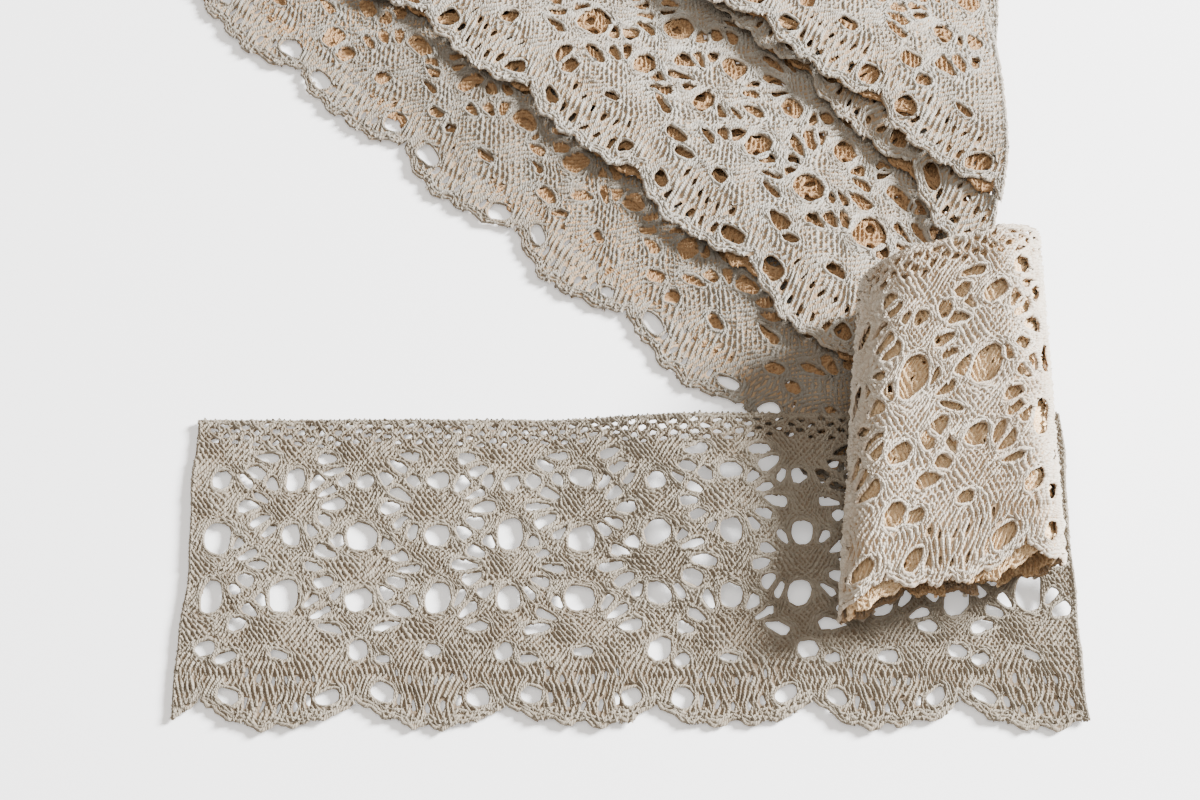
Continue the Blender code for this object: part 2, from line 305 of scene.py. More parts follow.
def slack(s, t, seed):
    """Chart points moved by the waves of one strip; its header stays straight."""
    ds, dt = np.zeros_like(s), np.zeros_like(t)
    for size, wave_s, wave_t, phase in SLACK:
        turn = 2 * np.pi * (s / wave_s + t / wave_t)
        ds = ds + size * np.sin(turn + phase * seed)
        dt = dt + size * np.sin(turn * ACROSS_TURN + phase * ACROSS_PHASE + seed)
    return s + ds, t + dt * smooth(t / HEADER_HOLDS)


print("slack moves a point by up to %.2f mm along and across" % sum(row[0] for row in SLACK))

# %% [markdown]
# ## Meshes from arrays
# A strip has tens of thousands of faces, so its meshes are filled from whole arrays, which is much
# faster than one vertex at a time. Cloth and yarns both go through the same `place` function, which
# says where a chart point lies in space.

# %% Arrays to objects
NORMAL_STEP, SHORTEST = 0.5, 1e-9
HEADER_EDGE = 0.15


def mesh_from(name, points, faces, grain_and_shade):
    """A mesh object; the last argument gives each point its way along, its way across, and its painted-shade
    depth.
    """
    size = faces.shape[1]
    used, back = np.unique(faces, return_inverse=True)
    points, faces, grain_and_shade = points[used], back.reshape(faces.shape), grain_and_shade[used]
    mesh = bpy.data.meshes.new(name)
    mesh.vertices.add(len(points))
    mesh.vertices.foreach_set("co", points.astype(np.float32).ravel())
    mesh.loops.add(faces.size)
    mesh.loops.foreach_set("vertex_index", faces.astype(np.int32).ravel())
    mesh.polygons.add(len(faces))
    mesh.polygons.foreach_set("loop_start", np.arange(0, faces.size, size, dtype=np.int32))
    mesh.update(calc_edges=True)
    mesh.validate()
    mesh.shade_smooth()
    layer = mesh.attributes.new("grain_and_shade", "FLOAT_VECTOR", "POINT")
    layer.data.foreach_set("vector", grain_and_shade.astype(np.float32).ravel())
    obj = bpy.data.objects.new(name, mesh)
    bpy.context.scene.collection.objects.link(obj)
    return obj


def space_points(place, s, t, height):
    """Chart points in space: height stands off the placed cloth along its normal, in mm."""
    along = place(s + NORMAL_STEP, t) - place(s - NORMAL_STEP, t)
    across = place(s, t + NORMAL_STEP) - place(s, t - NORMAL_STEP)
    normal = np.cross(across, along)
    normal /= np.maximum(np.linalg.norm(normal, axis=-1, keepdims=True), SHORTEST)
    return place(s, t) + normal * (np.asarray(height) * MM)[..., None]


def in_strip(s, t, first, last_at, margin):
    """Whether points lie on the strip, clear of its front edge by a margin."""
    return (s > first) & (s < last_at(t)) & (t > HEADER_EDGE) & (t < scallop_edge(s) - margin)


# %% [markdown]
# ## The cloth
# Under the yarns lies a flat net of triangles that keeps every gap open. Boolean cuts of hundreds of
# gaps would be slow and can fail. Blender's constrained Delaunay filler takes the outline and the
# rims of all gaps at once, and fills what lies between them.

# %% Outlines of gaps and cloth
OUTLINE_STEP, FEWEST_POINTS, END_POINTS = 1.25, 8, 30
SMALL_CORNERS, SLIT_CORNERS, ROUND_CORNERS = 7, 10, 14


def ring(gap, corners, grow=0.0):
    """The outline of a gap, grown by some mm."""
    angle = np.arange(corners) * 2 * np.pi / corners
    along = np.sign(np.cos(angle)) * np.abs(np.cos(angle)) ** (2 / ROUNDNESS)
    across = np.sign(np.sin(angle)) * np.abs(np.sin(angle)) ** (2 / ROUNDNESS)
    across = across * (1 + gap[TAPER] * along)
    along, across = along * (gap[HALF_S] + grow), across * (gap[HALF_T] + grow)
    cos, sin = math.cos(gap[TURN]), math.sin(gap[TURN])
    return np.stack([gap[AT_S] + along * cos - across * sin, gap[AT_T] + along * sin + across * cos], -1)


def corners_of(gap):
    if not gap[LARGE]:
        return SMALL_CORNERS
    return ROUND_CORNERS if gap[HALF_T] > ROUND_HEIGHT else SLIT_CORNERS


def cloth_outline(first, last_at):
    """Along the scallops, across the far end, back along the header, and across the near end."""
    last_front, last_back = float(last_at(TIPS)), float(last_at(0.0))
    count = max(int((last_front - first) / OUTLINE_STEP), FEWEST_POINTS)
    across = np.linspace(0, 1, END_POINTS)[1:-1]
    end_front = scallop_edge(last_front)
    outline = [(s, scallop_edge(s)) for s in np.linspace(first, last_front, count)]
    outline += [(last_at(end_front * (1 - x)), end_front * (1 - x)) for x in across]
    outline += [(s, 0.0) for s in np.linspace(last_back, first, count // 2)]
    outline += [(first, scallop_edge(first) * x) for x in across]
    return outline


# %% Net of cloth with open gaps
NET_STEP, NET_FIRST_S, NET_FIRST_T, NET_CLEAR = 2.6, 1.5, 1.3, 0.8
JOIN_WITHIN = 1e-5


def cloth_net(first, last_at, gaps):
    """Points and triangles of the cloth in chart coordinates."""
    points, edges = [], []

    def add_loop(loop):
        start, count = len(points), len(loop)
        points.extend(map(tuple, loop))
        edges.extend((start + i, start + (i + 1) % count) for i in range(count))

    add_loop(cloth_outline(first, last_at))
    for rows in gaps.values():
        for gap in rows:
            add_loop(ring(gap, corners_of(gap)))
    columns = np.arange(first + NET_FIRST_S, furthest(last_at), NET_STEP)
    net = np.meshgrid(columns, np.arange(NET_FIRST_T, TIPS, NET_STEP))
    net_s, net_t = net[0].ravel(), net[1].ravel()
    free = in_strip(net_s, net_t, first + NET_CLEAR, lambda t: last_at(t) - NET_CLEAR, NET_CLEAR)
    free &= ~in_gap(net_s, net_t, gaps)
    points.extend(zip(net_s[free], net_t[free]))
    flat = delaunay_2d_cdt([Vector(p) for p in points], edges, [], 0, JOIN_WITHIN)
    spots, faces = np.array([(p.x, p.y) for p in flat[0]]), np.array(flat[2])
    middle_s, middle_t = spots[faces].mean(1).T
    by_header = (middle_t > 0) & (middle_t <= HEADER_EDGE)
    keep = in_strip(middle_s, middle_t, first, last_at, 0.0) | by_header
    return spots, faces[keep & ~in_gap(middle_s, middle_t, gaps)]


def build_cloth(name, place, first, last_at, gaps, seed):
    spots, faces = cloth_net(first, last_at, gaps)
    s, t = slack(spots[:, 0], spots[:, 1], seed)
    grain_and_shade = np.stack([spots[:, 0], spots[:, 1], np.zeros(len(spots))], 1)
    return mesh_from(name, space_points(place, s, t, np.zeros(len(s))), faces, grain_and_shade)


# %% [markdown]
# ## Lines of yarn
# The crossings of the two sets of yarns lie on rows. The rows are further apart in the scallops,
# where the real yarns run steeply and look like ribs. A yarn passes over at one crossing and under at
# the next, and in patches one set lies on top, which gives the cloth its changing slants.

# %% Rows of crossings
YARNS = 28
PITCH = REPEAT / YARNS
ROW = 0.93
RIB_FROM, RIB_OVER, RIB_STRETCH = 66.0, 5.0, 1.3
CROSSING_RISE = 0.30
ON_TOP, PATCH_S, PATCH_T, PATCH_EDGE = 0.26, 20.0, 17.0, 2


def crossing_rows(coarse):
    """The t of each row of crossings."""
    rows = [-ROW]
    while rows[-1] < TIPS + ROW:
        stretch = 1 + RIB_STRETCH * float(smooth((rows[-1] - RIB_FROM) / RIB_OVER))
        rows.append(rows[-1] + ROW * coarse * stretch)
    return np.array(rows)


def yarn_lines(first, last, coarse):
    """Centre lines of both sets of slanted yarns, as arrays of s, t and height."""
    t = crossing_rows(coarse)
    pitch = PITCH * coarse
    row = np.arange(len(t))
    lead = len(t) // 2 + 1
    starts = first + np.arange(-lead, int((last - first) / pitch) + lead) * pitch
    sets = []
    for direction in (1, -1):
        s = starts[:, None] + direction * (row * pitch / 2)[None, :]
        over_under = np.where(row % 2 == 0, CROSSING_RISE, -CROSSING_RISE)
        patch = np.sin(2 * np.pi * s / PATCH_S) * np.cos(2 * np.pi * t / PATCH_T)
        height = direction * (over_under + ON_TOP * np.clip(PATCH_EDGE * patch, -1, 1))
        sets.append((s, np.broadcast_to(t, s.shape), height))
    return [np.concatenate(parts) for parts in zip(*sets)]


print("rows of crossings:", len(crossing_rows(1.0)), "and yarns of each slant in a repeat:", YARNS)

# %% [markdown]
# ## Yarns as ribbons
# A tube for each yarn would need millions of faces. Each yarn is a ribbon with a raised middle, which
# takes only two faces for each crossing, so a whole turn stays light. Spun yarn is uneven, so each
# ribbon strays and swells a little, and some are paler than others.

# %% Ribbons along lines
LIFT = (-0.6, 1.0, -0.6)
EDGES = (-0.5, 0.0, 0.5)
QUAD = (0, 1, 4, 3)
DEEPEST, HIGHEST = -0.75, 1.05
SPINNING, YARN_STRAY, WIDTH_STRAY, TONE = 100, 0.14, 0.15, 0.16
MOST_STRAY = 2 * YARN_STRAY


def middles(values):
    return (values[:, 1:] + values[:, :-1]) / 2


def ribbons(name, place, s, t, height, shown, width, rise, seed):
    """Raised ribbons along rows of points, with a face where shown says so."""
    chance = np.random.default_rng(seed + SPINNING)
    s, t = s + chance.normal(0, YARN_STRAY, s.shape), t + chance.normal(0, YARN_STRAY, s.shape)
    height = height + np.clip(chance.normal(0, YARN_STRAY, s.shape), -MOST_STRAY, MOST_STRAY)
    swell = chance.uniform(-WIDTH_STRAY, WIDTH_STRAY, (len(s), 1))
    width = width * (1 + swell + chance.uniform(-WIDTH_STRAY, WIDTH_STRAY, s.shape))
    tone = chance.uniform(-TONE, TONE, (len(s), 1, 1))
    ds, dt = np.gradient(s, axis=1), np.gradient(t, axis=1)
    length = np.maximum(np.hypot(ds, dt), 1e-6)
    spread = np.array(EDGES) * width[..., None]
    wide_s = s[..., None] - (dt / length)[..., None] * spread
    wide_t = t[..., None] + (ds / length)[..., None] * spread
    high = height[..., None] + np.array(LIFT) * rise
    along = np.cumsum(length, axis=1)[..., None] + 0 * high
    # Painted shade: the lower a point of a yarn lies, the lower its depth and the browner it is painted.
    depth = (high - DEEPEST) / (HIGHEST - DEEPEST) + tone
    grain_and_shade = np.stack([along, spread + 0 * high, depth], -1)
    moved_s, moved_t = slack(wide_s, wide_t, seed)
    points = space_points(place, moved_s, moved_t, high)
    line, sample = np.nonzero(shown)
    start = (line * s.shape[1] + sample) * len(EDGES)
    faces = np.concatenate([start[:, None] + half + np.array(QUAD) for half in (0, 1)])
    return mesh_from(name, points.reshape(-1, 3), faces, grain_and_shade.reshape(-1, 3))


# %% The weave
YARN_WIDTH, YARN_RISE = 0.95, 0.55
LONGEST_STEP = 3.6
END_IN, WEAVE_CLEAR = 0.7, 0.5


def build_weave(name, place, first, last_at, gaps, seed, coarse, woven_from):
    """Both sets of yarns, from a line across the strip on, since what others cover needs none."""
    s, t, height = yarn_lines(first, furthest(last_at), coarse)
    s, t = around_gaps(s, t, gaps)
    ends = first + END_IN, lambda across: last_at(across) - END_IN
    shown = in_strip(middles(s), middles(t), *ends, WEAVE_CLEAR)
    shown &= ~in_gap(middles(s), middles(t), gaps)
    shown &= middles(t) > woven_from
    shown &= np.hypot(np.diff(s, axis=1), np.diff(t, axis=1)) < LONGEST_STEP
    return ribbons(name, place, s, t, height, shown, YARN_WIDTH * coarse, YARN_RISE * coarse, seed)


# %% [markdown]
# ## Rims and cords
# Every large gap has a rim of its own, where the yarns turn back. Three twisted cords follow the
# scallops, two follow the header, and two whip each cut end, so that no yarn ends in the open. They
# are ribbons too. Twisted cords sway to and fro against each other and rise in turn.

# %% Rims
RIM_CORNERS, RIM_GROWN, RIM_CLEAR = 14, 0.4, 0.3
RIM_HEIGHT, RIM_TWIST, RIM_WIDTH, RIM_RISE = 0.3, 0.14, 0.85, 0.4


def build_rims(name, place, first, last_at, gaps, seed):
    rows = np.concatenate(list(gaps.values()))
    loops = np.array([ring(gap, RIM_CORNERS, RIM_GROWN) for gap in rows[rows[:, LARGE] > 0]])
    loops = np.concatenate([loops, loops[:, :2]], 1)
    s, t = loops[..., 0], loops[..., 1]
    height = RIM_HEIGHT + RIM_TWIST * np.where(np.arange(s.shape[1]) % 2, 1, -1) + 0 * s
    shown = in_strip(middles(s), middles(t), first, last_at, RIM_CLEAR)
    shown[:, -1] = False
    return ribbons(name, place, s, t, height, shown, RIM_WIDTH, RIM_RISE, seed)


# %% Cords
CORD_STEP, CORD_TWIST, CORD_WIDTH, CORD_RISE, CORD_HEIGHT = 0.85, 2.7, 1.1, 0.5, 0.2
FRONT_CORDS, FRONT_SWAY = ((0.35, 1), (1.35, -1), (2.45, 1)), 0.25
HEADER_CORDS, HEADER_SWAY = ((0.45, 1), (1.05, -1)), 0.15
WHIP_IN, WHIP_SWAY, WHIP_CLEAR = 0.55, 0.2, 0.3


def cord_lines(first, last_at):
    """Lines of s, t and height: each cord lies a distance in from its edge and starts to one side."""
    along = np.arange(first, furthest(last_at), CORD_STEP)
    twist = np.sin(along * 2 * np.pi / CORD_TWIST)
    lines = []
    for inset, side in FRONT_CORDS:
        t = scallop_edge(along) - inset + FRONT_SWAY * side * twist
        lines.append((along, t, CORD_HEIGHT + CORD_HEIGHT * side * twist))
    for inset, side in HEADER_CORDS:
        t = inset + HEADER_SWAY * side * twist
        lines.append((along, t, CORD_HEIGHT + CORD_HEIGHT * side * twist))
    for end, inwards in ((lambda across: first + 0 * across, 1), (last_at, -1)):
        reach = float(scallop_edge(float(end(TIPS))))
        across = np.linspace(WHIP_CLEAR, reach - WHIP_CLEAR, len(along))
        for side in (1, -1):
            sway = np.sin(across * 2 * np.pi / CORD_TWIST) * side
            s = end(across) + inwards * (WHIP_IN + WHIP_SWAY * sway)
            lines.append((s, across, CORD_HEIGHT + CORD_HEIGHT * sway))
    return lines


def build_cords(name, place, first, last_at, gaps, seed):
    s, t, height = (np.array(values) for values in zip(*cord_lines(first, last_at)))
    shown = in_strip(middles(s), middles(t), first, last_at, 0.0)
    shown &= ~in_gap(middles(s), middles(t), gaps)
    return ribbons(name, place, s, t, height, shown, CORD_WIDTH, CORD_RISE, seed)


# %% [markdown]
# ## Where the loose end lies
# The solids were laid out from a few sizes in mm, with the loose end along X. The same sizes give the
# lace its place here, so that it lies on the solids' own faces. The frame says how far that layout
# was moved. The loose end ripples a little, and it rises over the first turn at the right.

# %% The loose end
LOOSE_LEFT, LOOSE_RIGHT, LOOSE_NOTCH, LOOSE_HEADER, LOOSE_STRETCH = -109.0, 124.0, -24.0, -6.8, 0.97
LOOSE_LIFT, LIFT_FROM, LIFT_OVER = 4.6, (-17.0, -66.0), (46.0, 24.0)
LOOSE_RIPPLE, RIPPLE_LENGTH, RIPPLE_SLANT = 0.5, 74.0, 0.6
LOOSE_RISE = 1.45

low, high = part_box("loose_end")
ORIGIN = np.array([low[0] - LOOSE_LEFT * MM, high[1] - LOOSE_HEADER * MM, 0.0])
print("layout moved by", ORIGIN / MM, "mm")


def at_mm(x, y, z):
    return np.stack([x, y, z], -1) * MM + ORIGIN


def loose_place(s, t):
    """A point of the loose end."""
    x, y = LOOSE_NOTCH + s * LOOSE_STRETCH, LOOSE_HEADER - t
    lift = LOOSE_LIFT * smooth((x - LIFT_FROM[0]) / LIFT_OVER[0]) * smooth((y - LIFT_FROM[1]) / LIFT_OVER[1])
    ripple = LOOSE_RIPPLE * (0.5 + 0.5 * np.sin(2 * np.pi * (x + RIPPLE_SLANT * y) / RIPPLE_LENGTH))
    return at_mm(x, y, lift + ripple + LOOSE_RISE)


# %% [markdown]
# ## Where the fanned turns lie
# Each fanned turn lies along a slant: A runs along the slant and N across it. Its notch line bends a
# little, its scallops stand higher than its header, and its front edge droops. The layers below a
# turn are set back and shifted along, so that their gaps don't line up with the gaps above.

# %% The fanned turns
FAN_ANGLE, FAN_STRETCH = math.radians(-40.5), 1.057
FAN_WAVE, FAN_WAVE_LENGTH, FAN_WAVE_SHIFT = 0.8, 120.0, 2.0
FAN_TURNS = (
    # notch line N far, middle, near; far A; near A at the scallops and the header; A of a notch;
    # top at the scallops and at the header; droop of the front edge; drop of each layer below;
    # how far the first layer below is set back
    (26.6, 26.4, 26.4, -194, 82, 67, -11.5, 2.8, 2.6, 0.7, 0.75, 11.0),
    (63.5, 63.0, 54.5, -152, 60, 35, 4.7, 9.4, 5.4, 2.4, 1.9, 3.2),
    (123.0, 121.0, 101.0, -102, 60, -4, 21.7, 13.0, 7.0, 2.4, 1.8, 3.2),
    (122.5, 124.0, 118.5, -82, 52, -15, 2.5, 16.5, 8.0, 1.8, 1.1, 3.2),
)
DROOP_FROM, DROOP_OVER = 62.0, 22.0
LAYER_SET_BACK, LAYER_END_BACK, LAYER_SHIFT, HEADER_DROP = 3.2, 5.0, 13.0, 0.3
FAN_SINK, LOWEST, LAYER_GAP = 0.7, 1.3, 0.35


def fan_place(turn, layer, s, t):
    """A point of a fanned turn, or of a layer below it."""
    far, mid, near, far_a, near_a, _, notch_a, top, header_top, droop, drop, back = FAN_TURNS[turn]
    a = notch_a + layer * LAYER_SHIFT + s * FAN_STRETCH
    share = (a - far_a) / (near_a - far_a)
    bend = 2 * (far + near - 2 * mid)
    line = far + (near - far - bend) * share + bend * share * share
    inward = (NOTCH - t) / NOTCH
    set_back = back + (layer - 1) * LAYER_SET_BACK if layer else 0.0
    n = line + NOTCH - t + set_back * (1 - smooth(inward))
    wave = FAN_WAVE * np.sin(2 * np.pi * a / FAN_WAVE_LENGTH + turn * FAN_WAVE_SHIFT)
    wave = wave * np.sin(np.clip(inward, 0, 1) * np.pi)
    z = mix(top, header_top, smooth(inward)) + wave - FAN_SINK - droop * smooth((t - DROOP_FROM) / DROOP_OVER)
    z = z - layer * drop * mix(1, HEADER_DROP, smooth(inward))
    z = np.maximum(z, LOWEST + (1 - layer) * LAYER_GAP)
    cos, sin = math.cos(FAN_ANGLE), math.sin(FAN_ANGLE)
    return at_mm(a * cos - n * sin, a * sin + n * cos, z)


def fan_start(turn, layer):
    far_a, notch_a = FAN_TURNS[turn][3], FAN_TURNS[turn][6]
    return (far_a - notch_a - layer * LAYER_SHIFT) / FAN_STRETCH


def fan_end(turn, layer):
    """How far the turn reaches at each t: its near end is cut on a slant, as the solid's is."""
    near_a, header_a, notch_a = FAN_TURNS[turn][4:7]

    def last_at(t):
        share = 1 - np.asarray(t) / TIPS
        a = mix(near_a, header_a, (share + smooth(share)) / 2) - layer * LAYER_END_BACK
        return (a - notch_a - layer * LAYER_SHIFT) / FAN_STRETCH

    return last_at


# %% [markdown]
# ## Where the folded turn lies
# The folded turn is a flat loop with round sides, higher at its header than at its front. `s` runs
# along the section: over the top leaf, round the right side, back underneath, and round the left
# side. The seam, where the strip meets itself, lies on the underside.

# %% The folded turn
FOLD_ANGLE = math.radians(13)
# distance from the layout's origin towards the front, then left, right, under and top
FOLD_HEADER = (-7.5, 74.0, 122.9, 7.4, 39.0)
FOLD_FRONT = (71.0, 47.0, 105.0, 7.2, 22.0)
FOLD_RISE, FOLD_REPEATS, FOLD_START, FOLD_SEAM = 2.5, 3.5, -3.7, 0.62
FOLD_SINK, FOLD_INSET = 0.8, 2.4
FOLD_LENGTH = FOLD_REPEATS * REPEAT
FOLD_FIRST = FOLD_START - (1 - FOLD_SEAM) * FOLD_LENGTH


def fold_place(s, t, inset=0.0):
    """A point of the folded turn, or of a layer some mm inside it."""
    w, left, right, under, top = (mix(a, b, t / NOTCH) for a, b in zip(FOLD_HEADER, FOLD_FRONT))
    left, right = left + inset, right - inset
    top, under = top - FOLD_SINK - inset, under + FOLD_SINK + inset
    left_radius = (top - under) / 2
    right_radius = left_radius + FOLD_RISE / 2
    leaf = right - right_radius - left - left_radius
    right_end, under_end = leaf + math.pi * right_radius, 2 * leaf + math.pi * right_radius
    way = np.mod((s - FOLD_START) / FOLD_LENGTH, 1.0) * (under_end + math.pi * left_radius)
    right_angle = math.pi / 2 - (way - leaf) / right_radius
    left_angle = -math.pi / 2 - (way - under_end) / left_radius
    sections = [way < leaf, way < right_end, way < under_end]
    across = [
        left + left_radius + way,
        right + right_radius * (np.cos(right_angle) - 1),
        right - right_radius - way + right_end,
    ]
    heights = [top + FOLD_RISE * way / leaf, under + right_radius * (1 + np.sin(right_angle)), under]
    u = np.select(sections, across, left + left_radius * (1 + np.cos(left_angle)))
    z = np.select(sections, heights, under + left_radius * (1 + np.sin(left_angle)))
    cos, sin = math.cos(FOLD_ANGLE), math.sin(FOLD_ANGLE)
    return at_mm(u * cos + w * sin, u * sin - w * cos, z)


def inside_place(s, t):
    return fold_place(s + LAYER_SHIFT, t, FOLD_INSET)


print("the folded turn takes %.0f mm of strip" % FOLD_LENGTH)

# %% [markdown]
# ## Shader maths
# A material is a net of nodes, and sums of nodes are hard to read. This class wraps a socket, so that
# a shade can be written as a Python expression.

# %% Sockets in expressions


class Sock:
    """A shader socket that can be used in Python expressions."""

    def __init__(self, tree, socket):
        self.tree, self.socket = tree, socket

    def node(self, kind, settings=None, inputs=None, output=0):
        """Adds a node, its settings first and then its inputs, and returns one of its outputs."""
        made = self.tree.nodes.new(kind)
        for name, value in (settings or {}).items():
            if name == "stops":
                for stop, (at, colour) in zip(made.color_ramp.elements, value):
                    stop.position, stop.color = at, colour
            else:
                setattr(made, name, value)
        for name, value in (inputs or {}).items():
            if isinstance(value, Sock):
                self.tree.links.new(value.socket, made.inputs[name])
            else:
                made.inputs[name].default_value = value
        return Sock(self.tree, made.outputs[output])

    def maths(self, operation, a, b=0.0):
        return self.node("ShaderNodeMath", {"operation": operation}, {0: a, 1: b})

    def __add__(self, other):
        return self.maths("ADD", self, other)

    def __sub__(self, other):
        return self.maths("SUBTRACT", self, other)

    def __rsub__(self, other):
        return self.maths("SUBTRACT", other, self)

    def __mul__(self, other):
        return self.maths("MULTIPLY", self, other)

    __radd__, __rmul__ = __add__, __mul__


# %% [markdown]
# ## Cotton
# Unbleached cotton is pale, matte and a little uneven. A yarn is painted lightest on its ridge and
# browner where it dips under its neighbour: that brown is painted shade, for the light that reaches
# a dip only after it has met other yarns. The depth that each point was given in its mesh drives
# that painted shade, so it is fixed on the model and not on one view. A fine twist runs along each
# yarn as bump. A plain cloth has no yarns of its own, so its two slants of yarn are ridges that the
# shader works out, with painted shade between them.

# %% Cotton finish
TWIST_ALONG, TWIST_ACROSS, TWIST_SHARE, WOVEN_RIDGE = 8.0, 5.5, 0.4, 2.5
CLOUDY_SCALE, CLOUDY_DETAIL, CLOUDY_SHARE = 60.0, 4.0, 0.55
FINE_SCALE, FINE_DETAIL, FINE_SHARE = 1500.0, 2.0, 0.45
USUAL_DEPTH = 0.6
ROUGH, GLOSS, BUMP_STRENGTH = 0.9, 0.2, 0.6


def noise(start, where, scale, detail):
    return start.node("ShaderNodeTexNoise", None, {"Vector": where, "Scale": scale, "Detail": detail})


def woven_ridges(start, along, across):
    """1 on the ridges of a slanted weave and 0 between them."""
    slant_s, slant_t = along * (2 * math.pi / PITCH), across * (math.pi / ROW)
    one, other = (start.maths("COSINE", slant) for slant in (slant_s + slant_t, slant_s - slant_t))
    return start.maths("MAXIMUM", one, other) * 0.5 + 0.5


def cotton(name, recess_shade, pale, spread, bump_mm, woven=False):
    """A cotton finish from a painted recess shade to a pale shade; spread is how strongly depth counts."""
    material = bpy.data.materials.new(name)
    material.use_nodes = True
    tree = material.node_tree
    shader = tree.nodes["Principled BSDF"]
    start = Sock(tree, None)
    where = start.node("ShaderNodeNewGeometry")
    grain_and_shade = start.node("ShaderNodeAttribute", {"attribute_name": "grain_and_shade"}, output=1)
    along, across, depth = (start.node("ShaderNodeSeparateXYZ", None, {0: grain_and_shade}, axis) for axis in range(3))
    if woven:
        depth = woven_ridges(start, along, across)
        twist = depth * WOVEN_RIDGE
    else:
        twist = start.maths("SINE", along * TWIST_ALONG + across * TWIST_ACROSS)
    cloudy = noise(start, where, CLOUDY_SCALE, CLOUDY_DETAIL)
    fine = noise(start, where, FINE_SCALE, FINE_DETAIL)
    # Painted shade: low depth is painted towards the recess shade, high depth towards the pale shade.
    shade = depth * spread + (1 - spread) * USUAL_DEPTH
    shade = shade + (cloudy - 0.5) * CLOUDY_SHARE + (fine - 0.5) * FINE_SHARE
    colour = start.node("ShaderNodeValToRGB", {"stops": [(0.0, recess_shade), (1.0, pale)]}, {0: shade})
    tree.links.new(colour.socket, shader.inputs["Base Color"])
    shader.inputs["Roughness"].default_value = ROUGH
    shader.inputs["Specular IOR Level"].default_value = GLOSS
    relief = {"Height": twist * TWIST_SHARE + fine, "Strength": BUMP_STRENGTH, "Distance": bump_mm * MM}
    bump = start.node("ShaderNodeBump", None, relief)
    tree.links.new(bump.socket, shader.inputs["Normal"])
    return material


# %% Finishes, from what shows to what lies deep
# The loose end's yarn and cloth are painted darker than the roll's: painted shade, as it is the same cotton.
SHADED_LOOSE_YARN = cotton("shaded_loose_yarn", (0.19, 0.145, 0.10, 1), (0.305, 0.277, 0.228, 1), 0.85, 0.25)
LOOSE_SHADED_CLOTH = cotton("loose_shaded_cloth", (0.13, 0.095, 0.065, 1), (0.22, 0.17, 0.12, 1), 0.3, 0.15, woven=True)
YARN = cotton("roll_yarn", (0.27, 0.195, 0.125, 1), (0.375, 0.365, 0.33, 1), 0.85, 0.25)
# The first turn's yarn is painted darker than the roll's, as painted shade where it droops away from the
# light.
SHADED_LOWEST_YARN = cotton("shaded_lowest_yarn", (0.18, 0.125, 0.075, 1), (0.262, 0.251, 0.222, 1), 0.85, 0.25)
# The folded turn's yarn is painted paler than the roll's, as painted light where the fold catches more light.
LIT_FOLD_YARN = cotton("lit_fold_yarn", (0.36, 0.245, 0.15, 1), (0.585, 0.54, 0.465, 1), 0.85, 0.25)
# The cloth shows only between the yarns and is painted browner than they are, as painted shade there.
SHADED_CLOTH = cotton("roll_shaded_cloth", (0.28, 0.185, 0.11, 1), (0.40, 0.29, 0.185, 1), 0.3, 0.15, woven=True)
# The layers below are painted browner and darker than the top, as painted shade under it.
SHADED_BELOW = cotton("shaded_below_cloth", (0.27, 0.145, 0.065, 1), (0.37, 0.225, 0.115, 1), 0.8, 0.4, woven=True)
SHADED_BELOW_YARN = cotton("shaded_below_yarn", (0.27, 0.15, 0.07, 1), (0.37, 0.235, 0.125, 1), 1.0, 0.25)
# The inside of the fold is painted a bright orange-tan, as painted light that comes in through the lace.
LIT_INSIDE = cotton("lit_inside_cloth", (0.36, 0.22, 0.11, 1), (0.75, 0.56, 0.35, 1), 0.8, 0.4, woven=True)
LIT_INSIDE_YARN = cotton("lit_inside_yarn", (0.40, 0.25, 0.13, 1), (0.85, 0.64, 0.40, 1), 1.0, 0.25)
print("cotton finishes:", sum(name.endswith(("_yarn", "_cloth")) for name in bpy.data.materials.keys()))

# %% [markdown]
# ## The strips
# Each strip is a cloth, its weave, its rims and its cords. The loose end lies flat. The yarns of the
# roll are slack, so they swell and look coarser, and its gaps are more uneven.

# %% Build a strip
LOOSE = ("loose_lace", "loose_end", "laid", 1.0, 1.0)
ROLL = ("lace", "roll", "folded", 1.18, 1.6)
EDGE_SAMPLES = 200


def triangles(obj):
    return sum(len(face.vertices) - 2 for face in obj.data.polygons)


def finish_piece(obj, material, slot, node):
    obj.data.materials.append(material)
    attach(obj, "root")
    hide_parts(node)
    return obj


def flat_area(first, last_at):
    """Flat area of the strip without its large gaps, in square metres."""
    cut = CHART[CHART[:, LARGE] > 0]
    gaps = float((np.pi * cut[:, HALF_S] * cut[:, HALF_T]).sum()) / REPEAT
    width = float(scallop_edge(np.linspace(0, REPEAT, EDGE_SAMPLES)).mean())
    length = (float(last_at(TIPS)) + float(last_at(0.0))) / 2 - first
    return (width - gaps) * length * MM * MM


def build_strip(name, place, first, last_at, seed, kind, openness, cloth_finish, yarn_finish, woven_from=0.0):
    """One strip, from its kind: slot, node, hold, coarseness and crumpling; the slot and hold go unused."""
    slot, node, held, coarse, crumple = kind
    last = furthest(last_at)
    gaps = uneven_gaps(first, last_at, seed, openness, crumple)
    strip = place, first, last_at, gaps, seed
    cloth = finish_piece(build_cloth(name, *strip), cloth_finish, slot, node)
    extras = []
    if yarn_finish:
        extras.append(build_weave(name + "_weave", *strip, coarse, woven_from))
        extras.append(build_rims(name + "_rims", *strip))
        extras.append(build_cords(name + "_cords", *strip))
    for extra in extras:
        finish_piece(extra, yarn_finish, slot, node)
    (last - first) * MM
    flat_area(first, last_at)
    counts = [triangles(obj) for obj in [cloth] + extras]
    print(name, counts, "triangles")
    return sum(counts)


# %% The loose end's lace


def straight_end(last):
    return lambda t: last + 0 * np.asarray(t, float)


